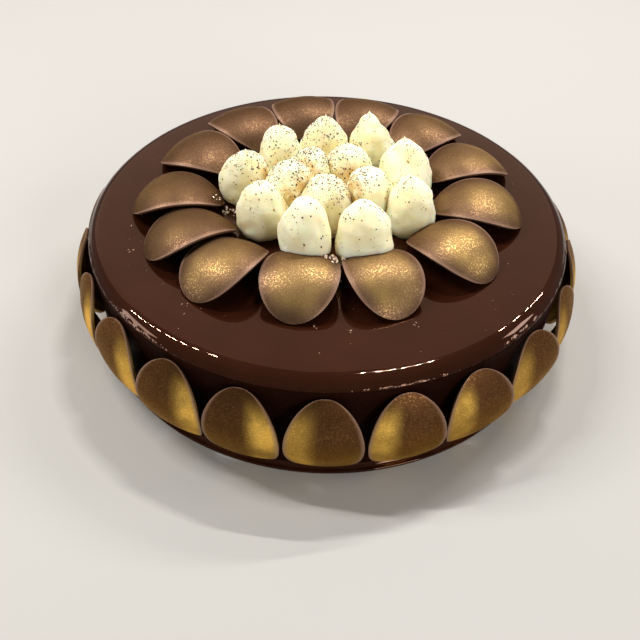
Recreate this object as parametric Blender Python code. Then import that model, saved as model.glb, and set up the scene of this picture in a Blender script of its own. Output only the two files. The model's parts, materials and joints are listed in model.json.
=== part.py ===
# A round tiramisu cake: a tall disc under dark mirror glaze, thirteen chocolate petals lying in
# a ring on its top round a nest of piped cream, and a second ring of petals standing against
# its side. Units are metres, +Z is up, and the origin is the centre of the flat base.

import math
import random

import bmesh
import bpy
from mathutils import Matrix, Vector

mm = 0.001
gap = 0.3 * mm                    # air between pieces that touch

# The cake under its glaze
cakeRadius = 109.7 * mm
cakeHeight = 55 * mm
edgeRound = 6.5 * mm
wallLean = 2.7 * mm               # the side draws in this much on its way down
footRadius = 110 * mm             # glaze that ran down and set as a thin foot
footHeight = 1.2 * mm
footRound = 0.4 * mm
flareHeight = 4 * mm              # above the foot the glaze draws in to the wall in a hollow curve
flareSteps = 3
cakeSides = 72
edgeSteps = 4

# Petals: teardrop shells of chocolate, arched along their length and a little across
petalThickness = 1.6 * mm
petalRows = 10
petalColumns = 4
topPetal = {"length": 50 * mm, "width": 33 * mm, "bend": 23.5 * mm, "crown": 45 * mm,
            "narrow": 0.6, "blunt": 0.5}
sidePetal = {"length": 47.8 * mm, "width": 32 * mm, "bend": 34 * mm, "crown": 60 * mm,
             "narrow": 0.45, "blunt": 0.52}

# The top ring was laid by hand, a little off the cake's centre. For each petal: its direction
# in degrees, how far its round end reaches from the ring's centre in mm, and its lean in degrees.
ringCentre = (-0.5 * mm, 6 * mm)
topPetalPitch = 1.5
topPetalPlaces = (
    (-98.5, 86, 0), (-69, 86, -4), (-38, 89, 0), (-9, 90, 1), (19, 91, -5), (46, 90, 0), (74, 89, 2),
    (102, 89, -2), (130, 89, 0), (159, 87, -2), (188, 90, 7), (211, 90, 11), (233.5, 91, 8))

# The side ring stands on the flare, pressed to the wall. Those in view were laid askew: for each
# of them, how far it leans sideways and how far it is twisted about its length, in degrees.
sidePetalCount = 22
sidePetalStart = -138.5
sidePetalPitch = 3                # they lean out a little, as the wall does
sidePetalSkew = ((1, 2), (-1, 4), (2, 1), (0, -1), (3, -3), (7, -5), (4, -8), (3, -1))
sidePetalStray = 3                # the others lean or twist by up to this many degrees

# Cream kisses, piped with a plain round nozzle. For each: where it stands, its radius, and how
# high above the glaze it starts, as two of them sit up on the petals' backs. All in mm. The five
# in the middle are wider, and fill the nest.
kissHeight = 28 * mm
kissDome = 0.93                   # the share of the height where the dome would close
kissSwell = 2.0                   # higher keeps the foot wide for longer
kissTaper = 0.68                  # lower gives fuller shoulders
kissTuck = (0.22, 0.18)           # below this share of the height, the foot draws in by this share
kissTip = (0.93, 0.11)            # the drawn tip starts at this share of the height and radius
kissUneven = 0.05                 # a kiss is this share taller or lower than that
kissSides = 18
kissRings = 8
kissLean = 1.6 * mm               # how far a tip may stand off its own axis
kissDrawIn = 0.04                 # a tip also leans to the middle, by this share of its distance
kissPlaces = (
    (-38, 6, 13, 0), (-29.5, -18.5, 12.8, 0), (-9.5, -40, 12.5, 6.5), (15, -38.5, 13, 5.5),
    (35.5, -12.5, 13.5, 0), (36.5, 16.5, 14, 0), (20.5, 41, 12.5, 0), (-3, 41, 13.2, 0),
    (-24, 27, 13, 0), (-18, -4, 14.5, 0), (-1, -13, 15, 0), (18, -6, 14.5, 0),
    (7.5, 14.5, 14.5, 0), (-9.5, 11, 14.5, 0))


def clearScene():
    for obj in list(bpy.data.objects):
        bpy.data.objects.remove(obj, do_unlink=True)


def makeMaterial(name, colour, roughness, metallic=0.0):
    material = bpy.data.materials.new(name)
    material.use_nodes = True
    shader = material.node_tree.nodes["Principled BSDF"]
    shader.inputs["Base Color"].default_value = (*colour, 1.0)
    shader.inputs["Roughness"].default_value = roughness
    shader.inputs["Metallic"].default_value = metallic
    material.diffuse_color = (*colour, 1.0)
    return material


def addObject(name, mesh, material, matrix=None):
    mesh.materials.append(material)
    mesh.shade_smooth()
    mesh.set_sharp_from_angle(angle=math.radians(40))
    obj = bpy.data.objects.new(name, mesh)
    bpy.context.scene.collection.objects.link(obj)
    if matrix is not None:
        obj.matrix_world = matrix
    return obj


def turnedMesh(name, profile, sides):
    # profile is a list of (radius, height) that starts and ends on the axis
    bm = bmesh.new()
    corners = [bm.verts.new((radius, 0.0, height)) for radius, height in profile]
    edges = [bm.edges.new(pair) for pair in zip(corners, corners[1:])]
    bmesh.ops.spin(bm, geom=corners + edges, axis=(0, 0, 1), cent=(0, 0, 0), steps=sides,
                   angle=2 * math.pi, use_merge=True)
    bmesh.ops.remove_doubles(bm, verts=bm.verts, dist=0.001 * mm)
    bmesh.ops.recalc_face_normals(bm, faces=bm.faces)
    mesh = bpy.data.meshes.new(name)
    bm.to_mesh(mesh)
    bm.free()
    return mesh


def cakeBody():
    wallFoot = cakeRadius - wallLean
    profile = [(0, 0), (footRadius - footRound, 0), (footRadius, footRound),
               (footRadius, footHeight - footRound), (footRadius - footRound, footHeight)]
    for step in range(1, flareSteps + 1):
        angle = step / flareSteps * math.pi / 2
        profile.append((footRadius - footRound - (footRadius - footRound - wallFoot) * math.sin(angle),
                        flareHeight - (flareHeight - footHeight) * math.cos(angle)))
    for step in range(edgeSteps + 1):
        angle = step / edgeSteps * math.pi / 2
        profile.append((cakeRadius - edgeRound + edgeRound * math.cos(angle),
                        cakeHeight - edgeRound + edgeRound * math.sin(angle)))
    profile.append((0, cakeHeight))
    return turnedMesh("cake_body", profile, cakeSides)


def halfWidth(along, shape):
    # the teardrop's outline, with along running from the narrow end, 0, to the round end, 1
    narrow = shape["narrow"]
    blunt = shape["blunt"]
    widest = narrow / (narrow + blunt)
    peak = widest ** narrow * (1 - widest) ** blunt
    return shape["width"] / 2 * along ** narrow * (1 - along) ** blunt / peak


def petalPoint(along, across, shape):
    # a point of the bent sheet: +X towards the round end, the hollow side facing down
    lengthAngle = (along - 0.5) * shape["length"] / shape["bend"]
    widthAngle = across * halfWidth(along, shape) / shape["crown"]
    reach = shape["bend"] - shape["crown"] * (1 - math.cos(widthAngle))
    return Vector((reach * math.sin(lengthAngle), shape["crown"] * math.sin(widthAngle),
                   reach * math.cos(lengthAngle) - shape["bend"]))


def petalMesh(name, shape, thickness=petalThickness):
    bm = bmesh.new()
    rows = []
    for row in range(1, petalRows):
        along = 0.5 - 0.5 * math.cos(math.pi * row / petalRows)
        rows.append([bm.verts.new(petalPoint(along, 2 * column / petalColumns - 1, shape))
                     for column in range(petalColumns + 1)])
    narrowEnd = bm.verts.new(petalPoint(0, 0, shape))
    roundEnd = bm.verts.new(petalPoint(1, 0, shape))
    for column in range(petalColumns):
        bm.faces.new((narrowEnd, rows[0][column], rows[0][column + 1]))
        bm.faces.new((roundEnd, rows[-1][column + 1], rows[-1][column]))
        for near, far in zip(rows, rows[1:]):
            bm.faces.new((near[column], far[column], far[column + 1], near[column + 1]))
    bmesh.ops.recalc_face_normals(bm, faces=bm.faces)
    bm.normal_update()
    for vertex in bm.verts:
        vertex.co += vertex.normal * thickness / 2
    bmesh.ops.solidify(bm, geom=bm.faces[:], thickness=thickness)
    bmesh.ops.recalc_face_normals(bm, faces=bm.faces)
    mesh = bpy.data.meshes.new(name)
    bm.to_mesh(mesh)
    bm.free()
    return mesh


def turns(*steps):
    # rotations in degrees, as ("X", angle) pairs, the last one made first
    matrix = Matrix.Identity(4)
    for axis, angle in steps:
        matrix = matrix @ Matrix.Rotation(math.radians(angle), 4, axis)
    return matrix


def placeTopPetal(mesh, direction, reach, lean):
    # laid on the glaze with its round end at the stated reach
    tilted = turns(("Y", topPetalPitch), ("X", lean))
    corners = [tilted @ vertex.co for vertex in mesh.vertices]
    ahead = reach * mm - max(corner.x for corner in corners)
    up = cakeHeight + gap - min(corner.z for corner in corners)
    centre = Matrix.Translation((*ringCentre, 0))
    return centre @ turns(("Z", direction)) @ Matrix.Translation((ahead, 0, up)) @ tilted


def wallRadius(height):
    return cakeRadius - wallLean * (1 - height / (cakeHeight - edgeRound))


def placeSidePetal(mesh, direction, sideways, twist):
    # stood on the flare with its round end up, its hollow side against the wall
    upright = Matrix(((0, 0, 1, 0), (0, -1, 0, 0), (1, 0, 0, 0), (0, 0, 0, 1)))
    stood = turns(("Y", sidePetalPitch), ("Z", twist), ("X", sideways)) @ upright
    corners = [stood @ vertex.co for vertex in mesh.vertices]
    up = flareHeight + gap - min(corner.z for corner in corners)
    out = max(math.sqrt((wallRadius(corner.z + up) + gap) ** 2 - corner.y ** 2) - corner.x
              for corner in corners)
    return turns(("Z", direction)) @ Matrix.Translation((out, 0, up)) @ stood


def petalClearance(places):
    # closed hulls a little larger than the lying petals, which the cream is cut back to
    growth = 5 * gap
    shape = dict(topPetal, length=topPetal["length"] + growth, width=topPetal["width"] + growth)
    collection = bpy.data.collections.new("petal_clearance")
    bpy.context.scene.collection.children.link(collection)
    bm = bmesh.new()
    bm.from_mesh(petalMesh("petal_clearance", shape, petalThickness + growth))
    hull = bmesh.ops.convex_hull(bm, input=bm.verts)
    inside = {item for item in hull["geom_interior"] + hull["geom_unused"]}
    bmesh.ops.delete(bm, geom=[item for item in inside if isinstance(item, bmesh.types.BMVert)],
                     context="VERTS")
    spare = [face for face in bm.faces if face not in set(hull["geom"])]
    bmesh.ops.delete(bm, geom=spare, context="FACES")
    mesh = bpy.data.meshes.new("petal_clearance")
    bm.to_mesh(mesh)
    bm.free()
    for matrix in places:
        cutter = bpy.data.objects.new("petal_clearance", mesh)
        cutter.matrix_world = matrix
        cutter.hide_render = True
        cutter.display_type = "WIRE"
        collection.objects.link(cutter)
    return collection


def kissProfile(wide):
    # a round foot, sloping shoulders and a drawn point
    tuckHeight, tuck = kissTuck
    profile = [(0, 0)]
    for ring in range(kissRings):
        height = ring / kissRings
        radius = wide * (1 - (height / kissDome) ** kissSwell) ** kissTaper
        if height < tuckHeight:
            radius *= 1 - tuck * (1 - height / tuckHeight) ** 2
        profile.append((radius, height * kissHeight))
    profile.append((kissTip[1] * wide, kissTip[0] * kissHeight))
    profile.append((0, kissHeight))
    return profile


def creamKiss(name, index, draw):
    # a kiss, drawn off its axis towards the tip and cut flat where it meets its neighbours
    x, y, wide, lift = (value * mm for value in kissPlaces[index])
    here = Vector((x, y, 0))
    lean = Vector((draw.uniform(-1, 1), draw.uniform(-1, 1), 0)) * kissLean - here * kissDrawIn
    stretch = 1 + draw.uniform(-kissUneven, kissUneven)
    bm = bmesh.new()
    bm.from_mesh(turnedMesh(name, kissProfile(wide), kissSides))
    for vertex in bm.verts:
        vertex.co += lean * (vertex.co.z / kissHeight) ** 2
        vertex.co.z *= stretch
    for other, place in enumerate(kissPlaces):
        away = Vector((*place[:2], 0)) * mm - here
        reach = wide + place[2] * mm
        if other == index or away.length > reach + gap:
            continue
        middle = away * wide / reach - away.normalized() * gap / 2
        cut = bmesh.ops.bisect_plane(bm, geom=bm.verts[:] + bm.edges[:] + bm.faces[:],
                                     dist=0.001 * mm, plane_co=middle, plane_no=away,
                                     clear_outer=True)
        rim = [item for item in cut["geom_cut"] if isinstance(item, bmesh.types.BMEdge)]
        bmesh.ops.edgeloop_fill(bm, edges=rim)
    bmesh.ops.recalc_face_normals(bm, faces=bm.faces)
    mesh = bpy.data.meshes.new(name)
    bm.to_mesh(mesh)
    bm.free()
    return mesh, Matrix.Translation(here + Vector((0, 0, cakeHeight + gap + lift)))


def main():
    clearScene()
    glaze = makeMaterial("dark_mirror_glaze", (0.045, 0.018, 0.011), 0.08)
    bronze = makeMaterial("bronze_dusted_chocolate", (0.26, 0.15, 0.07), 0.42, 0.35)
    cream = makeMaterial("piped_cream", (0.84, 0.74, 0.55), 0.55)

    addObject("cake_body", cakeBody(), glaze)

    topMesh = petalMesh("top_petal", topPetal)
    topPlaces = [placeTopPetal(topMesh, *place) for place in topPetalPlaces]
    for number, matrix in enumerate(topPlaces, 1):
        addObject(f"top_petal_{number:02d}", topMesh.copy(), bronze, matrix)

    draw = random.Random(5)
    sideMesh = petalMesh("side_petal", sidePetal)
    for number in range(sidePetalCount):
        direction = sidePetalStart + number * 360 / sidePetalCount
        skew = (draw.uniform(-sidePetalStray, sidePetalStray),
                draw.uniform(-sidePetalStray, sidePetalStray))
        if number < len(sidePetalSkew):
            skew = sidePetalSkew[number]
        addObject(f"side_petal_{number + 1:02d}", sideMesh.copy(), bronze,
                  placeSidePetal(sideMesh, direction, *skew))

    clearance = petalClearance(topPlaces)
    for index in range(len(kissPlaces)):
        name = f"cream_kiss_{index + 1:02d}"
        mesh, matrix = creamKiss(name, index, draw)
        kiss = addObject(name, mesh, cream, matrix)
        cut = kiss.modifiers.new("petals", "BOOLEAN")
        cut.operand_type = "COLLECTION"
        cut.collection = clearance
        cut.solver = "EXACT"


main()
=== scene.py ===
import json
import math
import random

import bmesh
import bpy
from mathutils import Matrix, Vector, noise
from mathutils.bvhtree import BVHTree

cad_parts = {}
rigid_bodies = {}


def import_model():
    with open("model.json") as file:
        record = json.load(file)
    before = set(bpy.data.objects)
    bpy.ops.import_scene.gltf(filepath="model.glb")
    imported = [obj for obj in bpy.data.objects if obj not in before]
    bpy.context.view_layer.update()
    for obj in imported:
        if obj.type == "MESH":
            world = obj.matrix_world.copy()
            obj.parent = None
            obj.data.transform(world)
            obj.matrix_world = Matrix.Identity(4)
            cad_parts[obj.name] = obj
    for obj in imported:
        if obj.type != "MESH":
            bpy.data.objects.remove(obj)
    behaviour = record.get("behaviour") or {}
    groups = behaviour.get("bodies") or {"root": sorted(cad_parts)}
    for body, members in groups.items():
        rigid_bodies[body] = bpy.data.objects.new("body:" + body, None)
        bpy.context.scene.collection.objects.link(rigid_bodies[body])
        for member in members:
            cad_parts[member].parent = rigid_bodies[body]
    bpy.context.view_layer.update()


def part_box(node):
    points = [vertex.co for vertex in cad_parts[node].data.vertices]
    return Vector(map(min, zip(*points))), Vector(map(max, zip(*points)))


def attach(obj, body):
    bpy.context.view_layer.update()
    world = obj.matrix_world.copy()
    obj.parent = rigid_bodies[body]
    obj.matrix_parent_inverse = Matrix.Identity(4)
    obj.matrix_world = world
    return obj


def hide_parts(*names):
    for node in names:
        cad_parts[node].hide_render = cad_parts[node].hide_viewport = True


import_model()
print("frame loaded")

mm = 0.001
sharpFrom = math.radians(50)  # edges that bend more than this are shaded sharp
dropHeight = 0.2  # specks and flakes fall from here
cakeLow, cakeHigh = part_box("cake_body")
topHeight = cakeHigh.z
footRadius = cakeHigh.x

# general helpers


def finishPiece(name, bm, material, replaced=None):
    # turns a bmesh into an object at the origin that rides on the cake
    mesh = bpy.data.meshes.new(name)
    bm.to_mesh(mesh)
    bm.free()
    return dressPiece(name, mesh, material, replaced)


def dressPiece(name, mesh, material, replaced=None):
    # gives a finished mesh its looks and its body, and hides the node that it stands for
    mesh.materials.clear()
    mesh.materials.append(material)
    mesh.shade_smooth()
    mesh.set_sharp_from_angle(angle=sharpFrom)
    piece = bpy.data.objects.new(name, mesh)
    bpy.context.scene.collection.objects.link(piece)
    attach(piece, "root")
    if replaced:
        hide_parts(replaced)
    return piece


def smoothStep(value, low, high):
    share = min(1.0, max(0.0, (value - low) / (high - low)))
    return share * share * (3 - 2 * share)


def spunProfile(profile, sides):
    # a round body from half of its outline, given as radius and height
    bm = bmesh.new()
    corners = [bm.verts.new((radius, 0, height)) for radius, height in profile]
    edges = [bm.edges.new(pair) for pair in zip(corners, corners[1:])]
    bmesh.ops.spin(bm, geom=corners + edges, axis=(0, 0, 1), cent=(0, 0, 0), steps=sides,
                   angle=2 * math.pi, use_merge=True)
    bmesh.ops.remove_doubles(bm, verts=bm.verts, dist=0.001 * mm)
    return bm


def turns(*steps):
    # rotations in degrees, as ("X", angle) pairs, the last one made first
    matrix = Matrix.Identity(4)
    for axis, angle in steps:
        matrix = matrix @ Matrix.Rotation(math.radians(angle), 4, axis)
    return matrix


# material helpers

class Graph:
    # a material's nodes, with short calls for the ones used here
    def __init__(self, name):
        self.material = bpy.data.materials.new(name)
        self.material.use_nodes = True
        self.nodes = self.material.node_tree.nodes
        self.links = self.material.node_tree.links
        self.shader = self.nodes["Principled BSDF"]
        self.place = self.nodes.new("ShaderNodeTexCoord").outputs["Object"]

    def feed(self, socket, value):
        if isinstance(value, bpy.types.NodeSocket):
            self.links.new(value, socket)
        elif hasattr(value, "__len__") and len(value) == 3 and len(socket.default_value) == 4:
            socket.default_value = (*value, 1.0)
        else:
            socket.default_value = value

    def set(self, **values):
        for name, value in values.items():
            self.feed(self.shader.inputs[name.replace("_", " ")], value)

    def noise(self, scale, detail=2.0, roughness=0.5):
        # scale is about how many lumps there are in a metre
        node = self.nodes.new("ShaderNodeTexNoise")
        node.inputs["Scale"].default_value = scale
        node.inputs["Detail"].default_value = detail
        node.inputs["Roughness"].default_value = roughness
        self.links.new(self.place, node.inputs["Vector"])
        return node.outputs["Fac"]

    def cells(self, scale):
        node = self.nodes.new("ShaderNodeTexVoronoi")
        node.inputs["Scale"].default_value = scale
        self.links.new(self.place, node.inputs["Vector"])
        return node.outputs["Distance"]

    def ramp(self, value, low, high, fromValue=0.0, toValue=1.0):
        node = self.nodes.new("ShaderNodeMapRange")
        node.interpolation_type = "SMOOTHSTEP"
        self.feed(node.inputs["Value"], value)
        node.inputs["From Min"].default_value = low
        node.inputs["From Max"].default_value = high
        node.inputs["To Min"].default_value = fromValue
        node.inputs["To Max"].default_value = toValue
        return node.outputs["Result"]

    def math(self, operation, first, second=0.0):
        node = self.nodes.new("ShaderNodeMath")
        node.operation = operation
        self.feed(node.inputs[0], first)
        self.feed(node.inputs[1], second)
        return node.outputs["Value"]

    def mix(self, share, first, second):
        node = self.nodes.new("ShaderNodeMix")
        node.data_type = "RGBA"
        self.feed(node.inputs["Factor"], share)
        colourA, colourB = [socket for socket in node.inputs if socket.type == "RGBA"]
        self.feed(colourA, first)
        self.feed(colourB, second)
        return [socket for socket in node.outputs if socket.type == "RGBA"][0]

    def attribute(self, name):
        node = self.nodes.new("ShaderNodeAttribute")
        node.attribute_name = name
        return node.outputs["Fac"]

    def height(self):
        node = self.nodes.new("ShaderNodeSeparateXYZ")
        self.links.new(self.place, node.inputs["Vector"])
        return node.outputs["Z"]

    def bump(self, height, distance, strength=1.0, after=None):
        node = self.nodes.new("ShaderNodeBump")
        node.inputs["Strength"].default_value = strength
        node.inputs["Distance"].default_value = distance
        self.links.new(height, node.inputs["Height"])
        if after is not None:
            self.links.new(after, node.inputs["Normal"])
        return node.outputs["Normal"]


# the cake under its mirror glaze

cake = {
    "radius": 109.7 * mm, "round": 6.5 * mm, "wallLean": 2.7 * mm,
    "footHeight": 1.2 * mm, "footRound": 0.45 * mm, "flareHeight": 4 * mm, "flareSteps": 8,
    "sides": 288, "footSteps": 6, "roundSteps": 14, "wallSteps": 18, "topRings": 14, "baseRing": 0.8,
    "wallWave": 0.22 * mm, "topWave": 0.03 * mm, "footWave": 0.7 * mm,  # how deep the glaze is uneven
    "wallScales": (7, 55), "topScale": 55, "footScales": (5.5, 17),  # how close its waves are
    "wallSlope": 0.36,  # a face that points up less than this is wall
}

# the glaze on the top and on the wall: deep and pale are the colours that it drifts between, pit is
# the colour of its rare pits, mirror tints what it reflects, and sheen is how strongly it does so; the
# wall's copy has darker deep and pale colours, which are painted shade, and a weak, blurred sheen
topGlaze = {
    "name": "mirrorGlaze", "deep": (0.019, 0.0048, 0.0021), "pale": (0.026, 0.0070, 0.0032),
    "pit": (0.16, 0.08, 0.045), "mirror": (1.0, 0.56, 0.40), "sheen": 0.42, "rough": 0.025,
}
# the wall's copy: its darker deep and pale colours are painted shade
shadedSideGlaze = dict(topGlaze, name="shadedWallGlaze", deep=(0.012, 0.0034, 0.0020), pale=(0.017, 0.0050, 0.0028),
                 sheen=0.01, rough=0.4)


def glazeMaterial(glaze):
    # drifting colour, rare pits, slow waves, and creases where the glaze ran over the shoulder
    g = Graph(glaze["name"])
    base = g.mix(g.ramp(g.noise(28, 3), 0.3, 0.75), glaze["deep"], glaze["pale"])
    rare = g.ramp(g.noise(95, 1), 0.66, 0.74)
    pits = g.math("MULTIPLY", g.ramp(g.cells(420), 0.05, 0.12, 1.0, 0.0), rare)
    g.set(Base_Color=g.mix(pits, base, glaze["pit"]))
    g.set(Roughness=g.ramp(g.noise(160, 2), 0.35, 0.8, glaze["rough"], glaze["rough"] + 0.02))
    g.set(IOR=1.5, Specular_IOR_Level=glaze["sheen"], Specular_Tint=glaze["mirror"])
    waves = g.bump(g.noise(46, 2), 0.9 * mm, 0.16)
    upper = g.ramp(g.height(), topHeight - 25 * mm, topHeight - 12 * mm)
    shoulder = g.math("MULTIPLY", g.ramp(g.height(), topHeight - 2 * mm, topHeight - 4.5 * mm), upper)
    creases = g.math("MULTIPLY", g.noise(190, 3), shoulder)
    g.set(Normal=g.bump(pits, 0.1 * mm, 0.5, g.bump(creases, 1.6 * mm, 0.7, waves)))
    return g.material


def glazeProfile():
    # half of the cake's outline, from the middle of the base round to the middle of the top
    wallFoot = cake["radius"] - cake["wallLean"]
    low = cake["footHeight"]
    bend = cake["round"]
    soft = cake["footRound"]
    profile = [(0, 0), (footRadius * cake["baseRing"], 0), (footRadius - soft, 0)]
    for step in range(1, cake["footSteps"]):
        angle = math.pi * (step / cake["footSteps"] - 0.5)
        profile.append((footRadius - soft + soft * math.cos(angle), low / 2 + low / 2 * math.sin(angle)))
    profile.append((footRadius - soft, low))
    flare = cake["flareHeight"]
    for step in range(1, cake["flareSteps"] + 1):
        angle = step / cake["flareSteps"] * math.pi / 2
        profile.append((footRadius - soft - (footRadius - soft - wallFoot) * math.sin(angle),
                        flare - (flare - low) * math.cos(angle)))
    wallTop = topHeight - bend
    for step in range(1, cake["wallSteps"]):
        share = step / cake["wallSteps"]
        profile.append((wallFoot + cake["wallLean"] * share, flare + (wallTop - flare) * share))
    for step in range(cake["roundSteps"] + 1):
        angle = step / cake["roundSteps"] * math.pi / 2
        profile.append((cake["radius"] - bend + bend * math.cos(angle), wallTop + bend * math.sin(angle)))
    for ring in range(1, cake["topRings"]):
        profile.append(((cake["radius"] - bend) * (1 - ring / cake["topRings"]), topHeight))
    profile.append((0, topHeight))
    return profile


def glazedCake(material, shadedWallMaterial):
    bm = spunProfile(glazeProfile(), cake["sides"])
    for vertex in bm.verts:
        unevenGlaze(vertex)
    bmesh.ops.recalc_face_normals(bm, faces=bm.faces)
    piece = finishPiece("glazedCake", bm, material, "cake_body")
    # faces that point up little get the darker wall copy, which is painted shade
    piece.data.materials.append(shadedWallMaterial)
    for face in piece.data.polygons:
        if face.normal.z < cake["wallSlope"] and face.center.z > cake["footHeight"]:
            face.material_index = 1
    return piece


def unevenGlaze(vertex):
    # the glaze set in slow waves down the wall, and crept out unevenly at the foot
    place = vertex.co
    across = Vector((place.x, place.y, 0))
    if across.length < 1 * mm or place.z < 0.01 * mm:
        return
    outward = across.normalized()
    if place.z <= cake["footHeight"] * 1.01 and across.length > cake["radius"] - cake["wallLean"] / 2:
        broad, fine = cake["footScales"]
        creep = noise.noise(outward * broad) + 0.5 * noise.noise(outward * fine)
        place -= outward * cake["footWave"] * (0.5 + 0.5 * creep)
        return
    around, upward = cake["wallScales"]
    wave = noise.noise(Vector((outward.x * around, outward.y * around, place.z * upward)))
    steep = smoothStep(across.length, cake["radius"] - cake["round"], cake["radius"] - 0.2 * cake["round"])
    place -= outward * cake["wallWave"] * steep * (0.5 + 0.5 * wave)
    flat = noise.noise(Vector((place.x, place.y, 0)) * cake["topScale"])
    place.z -= cake["topWave"] * (1 - steep) * (0.5 + 0.5 * flat)


# petals: teardrop shells of cast chocolate, dusted with bronze and gold

petal = {
    "outer": 0.55 * mm, "inner": 0.8 * mm,  # the wall's two skins, from the middle sheet
    "rows": 30, "columns": 14, "rimRound": 0.42 * mm, "rimWave": 0.22 * mm, "skinWave": 0.12 * mm,
    "rimScale": 9, "skinScale": 90, "rimAngle": 55,
    "rimHighlightWidth": 0.30 * mm, "giltFrom": 1.0 * mm, "giltReach": 10 * mm,  # how far in from the edge
}

# narrow and blunt say how fast each end widens, bend and crown are the radii along and across
topShape = {
    "length": 50 * mm, "width": 33 * mm, "bend": 23.5 * mm, "crown": 45 * mm,
    "narrow": 0.6, "blunt": 0.5,
}
sideShape = {
    "length": 47.8 * mm, "width": 32 * mm, "bend": 34 * mm, "crown": 60 * mm,
    "narrow": 0.45, "blunt": 0.52,
}

# the top ring: each petal's direction in degrees, its reach from the ring's centre in mm, its lean in
# degrees, and how thickly it was dusted, which also paints shade: the back petals get less gold and a
# darker colour
topRing = {"centre": (-0.5 * mm, 6 * mm), "pitch": 1.5, "rest": 0.3 * mm}
topPlaces = (
    (-98.5, 86, 0, 1), (-69, 86, -4, 0.85), (-38, 89, 0, 0.8), (-9, 90, 1, 0.7), (19, 91, -5, 0.55),
    (46, 90, 0, 0.2), (74, 89, 2, 0.05), (102, 89, -2, 0), (130, 89, 0, 0), (159, 87, -2, 0.05),
    (188, 90, 7, 0.2), (211, 90, 11, 0.3), (233.5, 91, 8, 0.55))

# the side ring, and for each petal in front how far it leans sideways and is twisted, in degrees, and
# how thickly it was dusted, which also paints light: the left petals are darker as painted shade and the
# right ones lighter as painted reflection
sideRing = {"count": 22, "start": -138.5, "pitch": 3, "stray": 3, "dustAndLight": 0.8}
sideSkew = ((1, 2, 0.9), (-1, 4, 0.7), (2, 1, 0.45), (0, -1, 0.7), (3, -3, 1), (7, -5, 1), (4, -8, 1),
            (3, -1, 1))

# where the gold lies, partly dust and partly painted light: a side petal's band down the side facing the
# front and its golden foot are painted reflection of a gold board below, and a top petal's gold toward its
# round end is painted sheen. band is across a petal's half width, bandEnd, foot and outward are along its
# length, and the two shares are how much gold there is at a side petal's foot and a top petal's inner end
giltAndSheenPlaces = {
    "band": (0.10, 0.65), "bandEnd": (0.70, 0.96), "foot": (0.05, 0.60), "footShare": 0.35,
    "outward": (0.25, 0.60), "innerShare": 0.3,
}

# chocolate brushed with lustre: low and high are its colours near the foot and above, where the side
# petals' golden low colour is a painted reflection of a gold board below; gold lies where the brush left
# more of it and is partly painted sheen and reflection; dark shows through where it left less, and where a
# petal is painted darker as shade; glint is the colour of the brightest grains, glitter is how strongly
# they stand out, rim is the colour of the bare cut edge, lighter there as a painted highlight, and mirror
# tints what the dust reflects
topLustre = {
    "name": "bronzeLustre", "low": (0.185, 0.108, 0.066), "high": (0.185, 0.108, 0.066),
    "goldAndSheen": (0.420, 0.270, 0.090), "dark": (0.085, 0.040, 0.021), "glint": (0.66, 0.47, 0.18),
    "glitter": 1.0, "rim": (0.235, 0.135, 0.095), "mirror": (1.0, 0.75, 0.50),
}
# the side petals' golden low colour is a painted reflection of a gold board below, over the dust's own
# colour
sideLustre = dict(topLustre, name="goldenLustre", low=(0.21, 0.084, 0.006), high=(0.108, 0.045, 0.017),
                  goldAndSheen=(1.0, 0.62, 0.12), dark=(0.05, 0.019, 0.005), glint=(1.0, 0.68, 0.20), glitter=0.6)


def petalMaterial(lustre):
    g = Graph(lustre["name"])
    dark = lustre["dark"]
    glitter = lustre["glitter"]
    giltAndSheen = g.attribute("giltAndSheen")
    patches = g.ramp(g.noise(44, 3), 0.34, 0.68)
    strokes = g.ramp(g.noise(150, 4, 0.7), 0.32, 0.70)
    grain = g.ramp(g.noise(1350, 2, 0.8), 0.44, 0.64)
    # colour by height: on the side petals the golden foot is painted reflection
    bronze = g.mix(g.ramp(g.height(), 10 * mm, 40 * mm), lustre["low"], lustre["high"])
    bronze = g.mix(g.math("MULTIPLY", strokes, 0.5), bronze, dark)
    # the bronze turns dark where little dust lies, which is also painted shade on the back and left petals
    bronze = g.mix(g.math("MULTIPLY", g.attribute("bareAndShade"), 0.7), bronze, dark)
    # gold cover: partly dust, partly painted sheen and painted reflection
    cover = g.math("MULTIPLY", giltAndSheen, g.ramp(patches, 0.0, 1.0, 0.45, 1.0))
    skin = g.mix(cover, bronze, lustre["goldAndSheen"])
    skin = g.mix(g.ramp(grain, 0.0, 1.0, 0.25 * glitter, 0.0), skin, dark)
    bright = g.math("MULTIPLY", g.ramp(grain, 0.75, 1.0), g.ramp(cover, 0.0, 1.0, 0.12, 0.6))
    skin = g.mix(g.math("MULTIPLY", bright, glitter), skin, lustre["glint"])
    # lighter colour on the upper corner of the cut edge: partly the bare edge's own colour, partly a
    # painted highlight
    rim = g.attribute("rim")
    g.set(Base_Color=g.mix(rim, skin, lustre["rim"]))
    g.set(Metallic=g.ramp(rim, 0.0, 1.0, 0.85, 0.2), Specular_Tint=lustre["mirror"])
    g.set(Roughness=g.ramp(grain, 0.0, 1.0, 0.54, 0.38))
    fine = g.bump(g.noise(1350, 2, 0.8), 0.10 * mm, 0.35 + 0.35 * glitter)
    g.set(Normal=g.bump(g.noise(110, 2), 0.25 * mm, 0.22, fine))
    return g.material


def halfWidth(along, shape):
    # the teardrop's outline, with along running from the narrow end, 0, to the round end, 1
    widest = shape["narrow"] / (shape["narrow"] + shape["blunt"])
    peak = widest ** shape["narrow"] * (1 - widest) ** shape["blunt"]
    return shape["width"] / 2 * along ** shape["narrow"] * (1 - along) ** shape["blunt"] / peak


def petalPoint(along, across, shape):
    lengthAngle = (along - 0.5) * shape["length"] / shape["bend"]
    widthAngle = across * halfWidth(along, shape) / shape["crown"]
    reach = shape["bend"] - shape["crown"] * (1 - math.cos(widthAngle))
    return Vector((reach * math.sin(lengthAngle), shape["crown"] * math.sin(widthAngle),
                   reach * math.cos(lengthAngle) - shape["bend"]))


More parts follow.
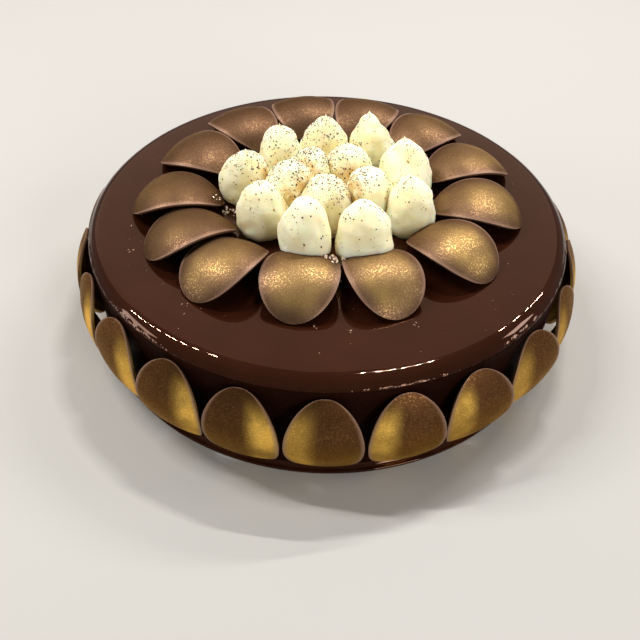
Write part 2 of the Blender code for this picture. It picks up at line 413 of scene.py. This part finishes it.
def petalShell(shape, seed, outer=petal["outer"], inner=petal["inner"], rows=petal["rows"],
               columns=petal["columns"], wave=1.0):
    # a flat grid, drawn into the teardrop, bent, and given its two skins and a rounded rim
    bm = bmesh.new()
    bmesh.ops.create_grid(bm, x_segments=rows, y_segments=columns, size=1)
    shift = Vector((seed * 3.7, seed * 1.9, 0))
    for vertex in bm.verts:
        along = 0.5 - 0.5 * math.cos(math.pi * (vertex.co.x + 1) / 2)
        across = vertex.co.y
        if abs(across) > 0.99:
            across *= 1 - wave * petal["rimWave"] / shape["width"] * (1 + noise.noise(
                Vector((along * petal["rimScale"], across, 0)) + shift))
        vertex.co = petalPoint(along, across, shape)
    bmesh.ops.remove_doubles(bm, verts=bm.verts, dist=0.01 * mm)
    bm.normal_update()
    for vertex in bm.verts:
        swell = noise.noise(vertex.co * petal["skinScale"] + shift)
        vertex.co += vertex.normal * (outer - wave * petal["skinWave"] * (0.5 + 0.5 * swell))
    bmesh.ops.solidify(bm, geom=bm.faces[:], thickness=outer + inner)
    if wave:
        sharp = [edge for edge in bm.edges if edge.calc_face_angle(0) > math.radians(petal["rimAngle"])]
        bmesh.ops.bevel(bm, geom=sharp, offset=petal["rimRound"], offset_type="OFFSET", segments=3,
                        profile=0.5, affect="EDGES", material=-1, clamp_overlap=True)
    bmesh.ops.recalc_face_normals(bm, faces=bm.faces)
    return bm


def markPetal(bm, shape, side, dustAndLight=1):
    # three values for the material: the first is 1 on the upper corner of the bare cut edge, whose lighter
    # colour is partly a painted highlight; the second is 1 where the gold lies, in the middle of a top
    # petal, where it is partly painted sheen, and down the side facing the front and across the lower end
    # of a side petal, where it is partly painted reflection of a gold board below; and the third is 1 where
    # little dust was brushed on, which also paints the back top petals and the left side petals darker as
    # shade
    rims = bm.verts.layers.float.new("rim")
    giltSheenLayer = bm.verts.layers.float.new("giltAndSheen")
    bareShadeLayer = bm.verts.layers.float.new("bareAndShade")
    for vertex in bm.verts:
        across = math.asin(max(-1, min(1, vertex.co.y / shape["crown"]))) * shape["crown"]
        lengthAngle = math.atan2(vertex.co.x, vertex.co.z + shape["bend"])
        along = lengthAngle * shape["bend"] / shape["length"] + 0.5
        half = halfWidth(min(0.999, max(0.001, along)), shape)
        room = min(half - abs(across), (1 - along) * shape["length"], along * shape["length"])
        sheet = shape["bend"] - shape["crown"] * (1 - math.cos(across / shape["crown"]))
        outside = math.hypot(vertex.co.x, vertex.co.z + shape["bend"]) - sheet
        upper = smoothStep(outside, -0.2 * mm, 0.4 * mm)  # 0 on the hollow side
        # only the upper corner gets the lighter edge colour, a painted highlight there
        vertex[rims] = (1 - smoothStep(room, 0.0, petal["rimHighlightWidth"])) * upper
        # less dust: painted shade on the back top petals and the left side petals, painted reflection keeps
        # the right ones lighter
        vertex[bareShadeLayer] = 1 - dustAndLight
        if side:
            # the band toward the front and the gold at the foot: partly dust, partly painted reflection of
            # a gold board below
            band = smoothStep(side * across / half, *giltAndSheenPlaces["band"])
            band *= 1 - smoothStep(along, *giltAndSheenPlaces["bandEnd"])
            foot = 1 - smoothStep(along, *giltAndSheenPlaces["foot"])
            vertex[giltSheenLayer] = min(1, band + giltAndSheenPlaces["footShare"] * foot)
        else:
            # on a top petal the gold grows toward the round end: partly dust, partly painted sheen
            outward = smoothStep(along, *giltAndSheenPlaces["outward"])
            outward = giltAndSheenPlaces["innerShare"] + (1 - giltAndSheenPlaces["innerShare"]) * outward
            vertex[giltSheenLayer] = dustAndLight * outward * smoothStep(room, petal["giltFrom"], petal["giltReach"])


def placeTopPetal(bm, direction, reach, lean):
    tilted = turns(("Y", topRing["pitch"]), ("X", lean))
    corners = [tilted @ vertex.co for vertex in bm.verts]
    ahead = reach * mm - max(corner.x for corner in corners)
    up = topHeight + topRing["rest"] - min(corner.z for corner in corners)
    centre = Matrix.Translation((*topRing["centre"], 0))
    return centre @ turns(("Z", direction)) @ Matrix.Translation((ahead, 0, up)) @ tilted


def wallRadius(height):
    return cake["radius"] - cake["wallLean"] * (1 - height / (topHeight - cake["round"]))


def placeSidePetal(bm, direction, sideways, twist):
    # stood on the flare with its round end up, its hollow side against the wall
    upright = Matrix(((0, 0, 1, 0), (0, -1, 0, 0), (1, 0, 0, 0), (0, 0, 0, 1)))
    stood = turns(("Y", sideRing["pitch"]), ("Z", twist), ("X", sideways)) @ upright
    corners = [stood @ vertex.co for vertex in bm.verts]
    rest = topRing["rest"]
    up = cake["flareHeight"] + rest - min(corner.z for corner in corners)
    out = max(math.sqrt((wallRadius(corner.z + up) + rest) ** 2 - corner.y ** 2) - corner.x
              for corner in corners)
    return turns(("Z", direction)) @ Matrix.Translation((out, 0, up)) @ stood


def topPetals(material):
    places = []
    pieces = []
    for number, place in enumerate(topPlaces, 1):
        bm = petalShell(topShape, number)
        markPetal(bm, topShape, 0, place[3])
        matrix = placeTopPetal(bm, *place[:3])
        places.append(matrix)
        bmesh.ops.transform(bm, matrix=matrix, verts=bm.verts)
        pieces.append(finishPiece(f"topPetal{number:02d}", bm, material,
                                  f"top_petal_{number:02d}"))
    return pieces, places


def sidePetals(material, draw):
    for number in range(sideRing["count"]):
        direction = sideRing["start"] + number * 360 / sideRing["count"]
        skew = (draw.uniform(-sideRing["stray"], sideRing["stray"]),
                draw.uniform(-sideRing["stray"], sideRing["stray"]), sideRing["dustAndLight"])
        if number < len(sideSkew):
            skew = sideSkew[number]
        bm = petalShell(sideShape, 40 + number)  # a seed that no top petal has
        markPetal(bm, sideShape, 1 if math.cos(math.radians(direction)) > 0 else -1, skew[2])
        bmesh.ops.transform(bm, matrix=placeSidePetal(bm, direction, *skew[:2]), verts=bm.verts)
        finishPiece(f"sidePetal{number + 1:02d}", bm, material,
                    f"side_petal_{number + 1:02d}")


# cream kisses, piped with a plain round nozzle

kiss = {
    "height": 28 * mm, "dome": 0.93, "swell": 2.1, "taper": 0.62, "bluntTaper": 0.46,
    "sunk": 0.06, "uneven": 0.05,  # how much lower a blunt kiss is, and by how much heights differ
    "lean": 1.6 * mm, "drawIn": 0.04, "tuck": 0.18, "tuckHeight": 0.22, "rest": 0.1 * mm,
    "tipWidth": 0.24, "tipHeight": 0.15, "tipCurve": 1.3, "bluntTip": 0.4, "soft": 0.8 * mm,
    "sides": 84, "rings": 56, "smoothFrom": 0.6, "smoothing": 0.4, "smoothSteps": 3,
    "ripple": 0.10 * mm, "rippleStep": 2.1 * mm, "patchScale": 60, "calm": (0.72, 0.95),
    "lumps": 2.6 * mm, "dents": 0.7 * mm, "lumpScale": 62, "dentScale": 210,
}

# where each stands, its radius, and how high above the glaze it starts, all in mm, and how far its
# tip was drawn, from 0, a blunt top, to 1
kissPlaces = (
    (-38, 6, 13, 0, 0.8), (-29.5, -18.5, 12.8, 0, 0.2), (-9.5, -40, 12.5, 6.5, 0.3),
    (15, -38.5, 13, 5.5, 0.2), (35.5, -12.5, 13.5, 0, 0.3), (36.5, 16.5, 14, 0, 0.8),
    (20.5, 41, 12.5, 0, 1), (-3, 41, 13.2, 0, 0.8), (-24, 27, 13, 0, 1), (-18, -4, 14.5, 0, 0),
    (-1, -13, 15, 0, 0.2), (18, -6, 14.5, 0, 0), (7.5, 14.5, 14.5, 0, 0.1), (-9.5, 11, 14.5, 0, 0))

# where the creases between kisses get tan painted shade, and how far it spreads, in mm
creaseShadeSpots = (
    (-25, 6, 8), (-13, 0, 7), (-13, -10, 7), (-16, -18, 6), (7, 2, 8), (10, -13, 8), (4, -28, 7),
    (-5, 22, 6), (18, 10, 6))

# the cream's two tones, its painted crease shade and fine dots, how light goes into it (inside is the share
# that does), and where the creases between kisses get painted shade, measured by how much nearer one kiss
# is than the next
cream = {
    "warm": (0.90, 0.835, 0.545), "pale": (0.97, 0.930, 0.690),
    "creaseShade": (0.66, 0.43, 0.11), "dot": (0.36, 0.22, 0.10),
    "inside": 0.8, "glow": (1.0, 0.75, 0.42), "depth": 6.0 * mm,
    "crease": (1 * mm, 10 * mm), "shadeStrength": 1.7,
}


def creamMaterial():
    g = Graph("pipedCream")
    tone = g.ramp(g.noise(75, 3), 0.3, 0.72)
    ivory = g.mix(tone, cream["warm"], cream["pale"])
    # tan painted shade in the creases between kisses
    creaseShade = g.math("MULTIPLY", g.attribute("creaseShade"), g.ramp(g.noise(240, 4, 0.7), 0.30, 0.62))
    creaseShaded = g.mix(g.math("MULTIPLY", creaseShade, 0.9), ivory, cream["creaseShade"])
    dots = g.ramp(g.cells(720), 0.10, 0.22, 1.0, 0.0)
    sparse = g.ramp(g.noise(170, 2), 0.52, 0.66)
    dotShare = g.math("MULTIPLY", g.math("MULTIPLY", dots, sparse), 0.55)
    g.set(Base_Color=g.mix(dotShare, creaseShaded, cream["dot"]))
    g.set(Roughness=g.ramp(g.noise(240, 2), 0.3, 0.7, 0.42, 0.60))
    g.set(Subsurface_Weight=cream["inside"], Subsurface_Radius=cream["glow"])
    g.set(Subsurface_Scale=cream["depth"])
    g.set(Specular_IOR_Level=0.4)
    grain = g.bump(g.noise(900, 3, 0.6), 0.06 * mm, 0.35)
    g.set(Normal=g.bump(g.noise(190, 2), 0.3 * mm, 0.25, grain))
    return g.material


def kissProfile(wide, drawn):
    # a round foot, shoulders that are fuller the less its tip was drawn, and the tip on the dome
    taper = kiss["bluntTaper"] + (kiss["taper"] - kiss["bluntTaper"]) * drawn
    tipWidth = wide * kiss["tipWidth"] * (kiss["bluntTip"] + (1 - kiss["bluntTip"]) * drawn)
    profile = [(0, 0)]
    for ring in range(kiss["rings"]):
        height = math.sin(ring / kiss["rings"] * math.pi / 2)
        radius = wide * max(0, 1 - (height / kiss["dome"]) ** kiss["swell"]) ** taper
        if height < kiss["tuckHeight"]:
            radius *= 1 - kiss["tuck"] * (1 - height / kiss["tuckHeight"]) ** 2
        if height > 1 - kiss["tipHeight"]:
            radius = max(radius, tipWidth * ((1 - height) / kiss["tipHeight"]) ** kiss["tipCurve"])
        profile.append((radius, height * kiss["height"]))
    profile.append((0, kiss["height"]))
    return profile


def creamKiss(index, draw):
    x, y, wide, lift = (value * mm for value in kissPlaces[index][:4])
    drawn = kissPlaces[index][4]
    here = Vector((x, y, 0))
    lean = Vector((draw.uniform(-1, 1), draw.uniform(-1, 1), 0)) * kiss["lean"] - here * kiss["drawIn"]
    stretch = 1 + draw.uniform(-kiss["uneven"], kiss["uneven"])
    stretch *= 1 - kiss["sunk"] * (1 - drawn)
    bm = spunProfile(kissProfile(wide, drawn), kiss["sides"])
    for step in range(kiss["smoothSteps"]):
        upper = [vertex for vertex in bm.verts if vertex.co.z > kiss["smoothFrom"] * kiss["height"]]
        bmesh.ops.smooth_vert(bm, verts=upper, factor=kiss["smoothing"],
                              use_axis_x=True, use_axis_y=True, use_axis_z=True)
    for vertex in bm.verts:
        layKiss(vertex.co, here, lean, stretch)
    up = Vector((0, 0, topHeight + lift + kiss["rest"]))
    bmesh.ops.translate(bm, vec=here + up, verts=bm.verts)
    for other, place in enumerate(kissPlaces):
        away = Vector((*place[:2], 0)) * mm - here
        reach = wide + place[2] * mm
        if other != index and away.length < reach + 1 * mm:
            pressKiss(bm, here, away, wide / reach)
    bmesh.ops.recalc_face_normals(bm, faces=bm.faces)
    return bm


def layKiss(place, here, lean, stretch):
    # the cream's own unevenness: soft lumps, faint rings of piping, and a tip pulled to one side
    share = place.z / kiss["height"]
    outward = Vector((place.x, place.y, 0))
    if outward.length > 0.01 * mm:
        outward.normalize()
        lump = noise.noise((place + here) * kiss["lumpScale"]) * kiss["lumps"] - 0.25 * kiss["lumps"]
        lump += noise.noise((place - here) * kiss["dentScale"]) * kiss["dents"]
        turn = math.atan2(outward.y, outward.x)
        ring = math.sin(2 * math.pi * (place.z / kiss["rippleStep"] + turn / (2 * math.pi)) + here.x * 300)
        patchy = smoothStep(noise.noise(place * kiss["patchScale"] + here * 50), -0.1, 0.5)
        fade = 1 - smoothStep(share, *kiss["calm"])
        place += outward * fade * (lump + ring * patchy * kiss["ripple"])
    place += lean * share ** 2
    place.z *= stretch


def pressKiss(bm, here, away, share):
    # where two kisses meet, each is pressed flat along a plane across the line between them
    ahead = away.normalized()
    middle = away.length * share - 0.02 * mm
    for vertex in bm.verts:
        past = (vertex.co - here).dot(ahead) - middle
        if past > -6 * kiss["soft"]:  # farther back the press moves nothing
            pressed = -kiss["soft"] * math.log1p(math.exp(-past / kiss["soft"]))
            vertex.co += ahead * (pressed - past)


cutter = {"wider": 0.6 * mm, "skin": 0.9 * mm, "rows": 18, "columns": 8}


def petalCutters(places):
    # closed hulls a little larger than the lying petals, which the cream is cut back to
    wider = cutter["wider"]
    skin = cutter["skin"]
    grown = dict(topShape, length=topShape["length"] + wider, width=topShape["width"] + wider)
    collection = bpy.data.collections.new("petalCutters")
    for matrix in places:
        bm = petalShell(grown, 0, outer=skin, inner=skin, rows=cutter["rows"],
                        columns=cutter["columns"], wave=0)
        hull = bmesh.ops.convex_hull(bm, input=bm.verts)
        kept = set(hull["geom"])
        bmesh.ops.delete(bm, geom=[face for face in bm.faces if face not in kept], context="FACES")
        bmesh.ops.delete(bm, geom=[vertex for vertex in bm.verts if not vertex.link_faces], context="VERTS")
        bmesh.ops.transform(bm, matrix=matrix, verts=bm.verts)
        bmesh.ops.recalc_face_normals(bm, faces=bm.faces)
        mesh = bpy.data.meshes.new("petalCutter")
        bm.to_mesh(mesh)
        bm.free()
        collection.objects.link(bpy.data.objects.new("petalCutter", mesh))
    return collection


def cutByPetals(bm, cutters):
    mesh = bpy.data.meshes.new("uncutKiss")
    bm.to_mesh(mesh)
    bm.free()
    uncut = bpy.data.objects.new("uncutKiss", mesh)
    bpy.context.scene.collection.objects.link(uncut)
    cut = uncut.modifiers.new("petals", "BOOLEAN")
    cut.operand_type = "COLLECTION"
    cut.collection = cutters
    cut.solver = "EXACT"
    ready = uncut.evaluated_get(bpy.context.evaluated_depsgraph_get())
    cutMesh = bpy.data.meshes.new_from_object(ready)
    bpy.data.objects.remove(uncut)
    return cutMesh


def markCreaseShade(mesh):
    # a value of 1 where the creases between kisses get tan painted shade
    layer = mesh.attributes.new("creaseShade", "FLOAT", "POINT")
    tops = [Vector(place[:2]) * mm for place in kissPlaces]
    for vertex in mesh.vertices:
        place = vertex.co.to_2d()
        near = sorted((place - top).length for top in tops)[:2]
        crease = 1 - smoothStep(near[1] - near[0], *cream["crease"])
        shadeHere = max(math.exp(-((place - Vector((x, y)) * mm).length / (reach * mm)) ** 2)
                     for x, y, reach in creaseShadeSpots)
        layer.data[vertex.index].value = min(1, crease * shadeHere * cream["shadeStrength"])


def creamKisses(material, draw, places):
    cutters = petalCutters(places)
    kisses = []
    for index in range(len(kissPlaces)):
        mesh = cutByPetals(creamKiss(index, draw), cutters)
        markCreaseShade(mesh)
        kisses.append(dressPiece(f"creamKiss{index + 1:02d}", mesh, material,
                                 f"cream_kiss_{index + 1:02d}"))
    for used in list(cutters.objects):
        bpy.data.objects.remove(used)
    bpy.data.collections.remove(cutters)
    return kisses


# cocoa sifted over the cream, and crumbs on the glaze

# each look is a name, a darker and a lighter colour, how rough it is and how metallic; small and
# large are half of a fleck's length
fleck = {"width": (0.55, 1.0), "thickness": (0.35, 0.6), "raised": 0.15}  # shares of that size
specks = {
    "cocoa": ("cocoaSpeck", (0.022, 0.014, 0.008), (0.085, 0.050, 0.026), 0.85, 0.0),
    "toasted": ("toastedSpeck", (0.30, 0.14, 0.045), (0.52, 0.28, 0.10), 0.8, 0.0),
    "count": 5600, "small": 0.17 * mm, "large": 0.50 * mm, "reach": 54 * mm, "darkShare": 0.72,
    "heavy": ((-6, 14), (-20, -2), (4, -10), (-3, 36), (-32, 12)),  # where they lie thickest, in mm
    "spread": 15 * mm, "elsewhere": 0.15, "lowest": 2 * mm, "fineness": 2.2,
}
crumbs = {
    "look": ("chocolateCrumb", (0.10, 0.045, 0.022), (0.34, 0.20, 0.12), 0.4, 0.3),
    "count": 110, "small": 0.25 * mm, "large": 0.8 * mm, "nearest": 48, "farthest": 101,
    "seen": ((36.8, -77), (9.6, -81.6), (-54.4, -75.1), (-4.4, -79.5), (-87.9, -19.1), (-85.5, -37.3),
             (-55.7, -69.4)),  # small heaps, in mm
    "heap": 3, "spread": 0.9, "finer": (0.5, 1.3),
}
flakes = {
    "look": ("sugarFlake", (0.62, 0.42, 0.30), (0.90, 0.78, 0.66), 0.2, 0.2),
    "heaps": ((4.5, -48, 2.3, 60), (-47, -5, 2.6, 24)),  # place and spread in mm, and how many
    "small": 0.35, "large": 0.9, "lift": (0.1, 0.9),  # in mm, as is how high they lie on each other
    "highest": 12 * mm,  # above the glaze; what falls higher up is left out
}


def speckMaterial(name, dark, light, roughness, metallic):
    g = Graph(name)
    g.set(Base_Color=g.mix(g.ramp(g.noise(900, 2), 0.35, 0.65), dark, light))
    g.set(Roughness=roughness, Metallic=metallic)
    g.set(Normal=g.bump(g.noise(3000, 2), 0.05 * mm, 0.5))
    return g.material


def addFleck(bm, place, normal, size, draw):
    turned = normal.to_track_quat("Z", "Y").to_matrix().to_4x4()
    spun = turns(("Z", draw.uniform(0, 360)))
    width = size * draw.uniform(*fleck["width"])
    thickness = size * draw.uniform(*fleck["thickness"])
    shape = Matrix.Diagonal((size, width, thickness, 1))
    matrix = Matrix.Translation(place + normal * size * fleck["raised"]) @ turned @ spun @ shape
    bmesh.ops.create_icosphere(bm, subdivisions=1, radius=1, matrix=matrix)


def surfaceOf(pieces):
    bm = bmesh.new()
    for piece in pieces:
        bm.from_mesh(piece.data)
    tree = BVHTree.FromBMesh(bm)
    bm.free()
    return tree


def cocoaSpecks(kisses, draw):
    # sifted from above, thickest over the middle and the back left of the cream
    tree = surfaceOf(kisses)
    heavy = [Vector(place) * mm for place in specks["heavy"]]
    dark = bmesh.new()
    tan = bmesh.new()
    placed = 0
    while placed < specks["count"]:
        spot = Vector((draw.uniform(-1, 1), draw.uniform(-1, 1))) * specks["reach"]
        near = min((spot - centre).length for centre in heavy)
        if draw.random() > math.exp(-(near / specks["spread"]) ** 2) + specks["elsewhere"]:
            continue
        place, normal = tree.ray_cast(Vector((*spot, dropHeight)), Vector((0, 0, -1)))[:2]
        placed += 1
        if place is None or place.z < topHeight + specks["lowest"]:
            continue
        grown = draw.random() ** specks["fineness"]
        size = specks["small"] + (specks["large"] - specks["small"]) * grown
        addFleck(dark if draw.random() < specks["darkShare"] else tan, place, normal, size, draw)
    cocoa = speckMaterial(*specks["cocoa"])
    toasted = speckMaterial(*specks["toasted"])
    finishPiece("cocoaSpecks", dark, cocoa)
    finishPiece("toastedSpecks", tan, toasted)


def glazeCrumbs(draw):
    bm = bmesh.new()
    up = Vector((0, 0, 1))
    for x, y in crumbs["seen"]:
        for crumb in range(crumbs["heap"]):
            aside = draw.gauss(0, crumbs["spread"])
            behind = draw.gauss(0, crumbs["spread"])
            spot = Vector((x + aside, y + behind, topHeight / mm)) * mm
            addFleck(bm, spot, up, draw.uniform(crumbs["small"], crumbs["large"]), draw)
    for crumb in range(crumbs["count"]):
        turn = draw.uniform(0, 2 * math.pi)
        reach = draw.uniform(crumbs["nearest"], crumbs["farthest"])
        spot = Vector((math.cos(turn) * reach, math.sin(turn) * reach, topHeight / mm)) * mm
        addFleck(bm, spot, up, crumbs["small"] * draw.uniform(*crumbs["finer"]), draw)
    finishPiece("glazeCrumbs", bm, speckMaterial(*crumbs["look"]))


def brightFlakes(pieces, draw):
    # two small heaps of shining flakes that fell on and between the petals' inner ends
    tree = surfaceOf(pieces)
    bm = bmesh.new()
    for x, y, spread, count in flakes["heaps"]:
        for flake in range(count):
            aside = draw.gauss(0, spread)
            behind = draw.gauss(0, spread)
            spot = Vector((x + aside, y + behind, dropHeight / mm)) * mm
            tilt = Vector((draw.uniform(-1, 1), draw.uniform(-1, 1), 1)).normalized()
            size = draw.uniform(flakes["small"], flakes["large"]) * mm
            place = tree.ray_cast(spot, Vector((0, 0, -1)))[0]
            if place.z < topHeight + flakes["highest"]:
                lift = Vector((0, 0, draw.uniform(*flakes["lift"]) * mm))
                addFleck(bm, place + lift, tilt, size, draw)
    finishPiece("sugarFlakes", bm, speckMaterial(*flakes["look"]))


# floor, light and camera

# the focal length and the frame are in pixels, the sensor in mm and the roll in radians
camera = {
    "place": (0, -0.296, 0.269), "aim": (-0.0024, 0, -0.0182), "focal": 779, "frame": 640,
    "sensor": 36, "roll": 0.0271,
}
ground = {"reach": 3, "dull": (0.42, 0.412, 0.40), "pale": (0.45, 0.442, 0.43), "rough": 0.7}

# each panel has its turn and rise in degrees, distance, width and height in m, power in W and colour
studio = {
    "sky": (1.0, 0.96, 0.90, 1), "skyStrength": 0.21, "panelAim": (0, 0, 0.04),
    "panels": {
        "back": (100, 38, 1.9, 2.8, 1.1, 5.8, (1, 0.76, 0.58)),
        "frontRight": (-57, 22, 1.6, 0.42, 0.55, 10, (1, 0.97, 0.92)),
        "right": (2, 27, 1.6, 0.34, 0.4, 4.5, (1, 0.97, 0.92)),
        "left": (187, 17, 1.6, 0.5, 0.4, 4.5, (1, 0.97, 0.92)),
    },
    "lampPower": 1.1, "lampColour": (1, 0.98, 0.94),
    # rows of small lamps 1 m above the cake: both ends of each row, how many, and their size
    "lampRows": (
        ((-1.16, 0.29), (-0.67, 0.19), 7, 0.026), ((-0.62, 0.19), (-0.37, 0.24), 4, 0.026),
        ((0.10, 0.50), (0.29, 0.485), 6, 0.012), ((0.52, 0.66), (1.07, 0.78), 7, 0.026)),
}


def addFloor():
    bm = bmesh.new()
    bmesh.ops.create_grid(bm, x_segments=1, y_segments=1, size=ground["reach"])
    mesh = bpy.data.meshes.new("floor")
    bm.to_mesh(mesh)
    bm.free()
    g = Graph("paleFloor")
    g.set(Base_Color=g.mix(g.noise(3, 2), ground["dull"], ground["pale"]), Roughness=ground["rough"])
    mesh.materials.append(g.material)
    floor = bpy.data.objects.new("floor", mesh)
    bpy.context.scene.collection.objects.link(floor)


def addLight(name, turn, rise, distance, width, height, power, colour):
    # turn is the direction in degrees from +X towards +Y, rise its height in degrees
    flat = math.cos(math.radians(rise))
    away = Vector((flat * math.cos(math.radians(turn)), flat * math.sin(math.radians(turn)),
                   math.sin(math.radians(rise))))
    light = bpy.data.lights.new(name, "AREA")
    light.shape = "RECTANGLE"
    light.size = width
    light.size_y = height
    light.energy = power
    light.color = colour
    lamp = bpy.data.objects.new(name, light)
    lamp.location = Vector(studio["panelAim"]) + away * distance
    lamp.rotation_euler = away.to_track_quat("Z", "Y").to_euler()
    bpy.context.scene.collection.objects.link(lamp)


def lampSpots():
    spots = []
    for first, last, count, size in studio["lampRows"]:
        for step in range(count):
            share = step / (count - 1)
            x, y = (start + (end - start) * share for start, end in zip(first, last))
            spots.append((x, y, size))
    return spots


def addLights():
    world = bpy.data.worlds.new("studio")
    world.use_nodes = True
    sky = world.node_tree.nodes["Background"]
    sky.inputs["Color"].default_value = studio["sky"]
    sky.inputs["Strength"].default_value = studio["skyStrength"]
    bpy.context.scene.world = world
    for name, values in studio["panels"].items():
        addLight(name, *values)
    for number, (x, y, size) in enumerate(lampSpots(), 1):
        reach = math.hypot(x, y)
        turn = math.degrees(math.atan2(y, x))
        rise = math.degrees(math.atan2(1, reach))
        addLight(f"lamp{number:02d}", turn, rise, math.hypot(1, reach), size, size,
                 studio["lampPower"], studio["lampColour"])


def addCamera():
    data = bpy.data.cameras.new("camera")
    data.sensor_width = camera["sensor"]
    data.lens = camera["focal"] / camera["frame"] * camera["sensor"]
    data.clip_start = 0.01
    eye = bpy.data.objects.new("camera", data)
    place = Vector(camera["place"])
    look = (Vector(camera["aim"]) - place).to_track_quat("-Z", "Y")
    eye.location = place
    eye.rotation_euler = (look.to_matrix() @ Matrix.Rotation(camera["roll"], 3, "Z")).to_euler()
    bpy.context.scene.collection.objects.link(eye)
    bpy.context.scene.camera = eye


draw = random.Random(5)
glazed = glazedCake(glazeMaterial(topGlaze), glazeMaterial(shadedSideGlaze))
print("cake made")
lyingPetals, petalPlaces = topPetals(petalMaterial(topLustre))
sidePetals(petalMaterial(sideLustre), draw)
print("petals made")
kisses = creamKisses(creamMaterial(), draw, petalPlaces)
print("cream made")
cocoaSpecks(kisses, draw)
glazeCrumbs(draw)
brightFlakes([glazed, *lyingPetals, *kisses], draw)
print("specks and crumbs made")
addFloor()
addLights()
addCamera()
bpy.context.scene.view_settings.view_transform = "Standard"
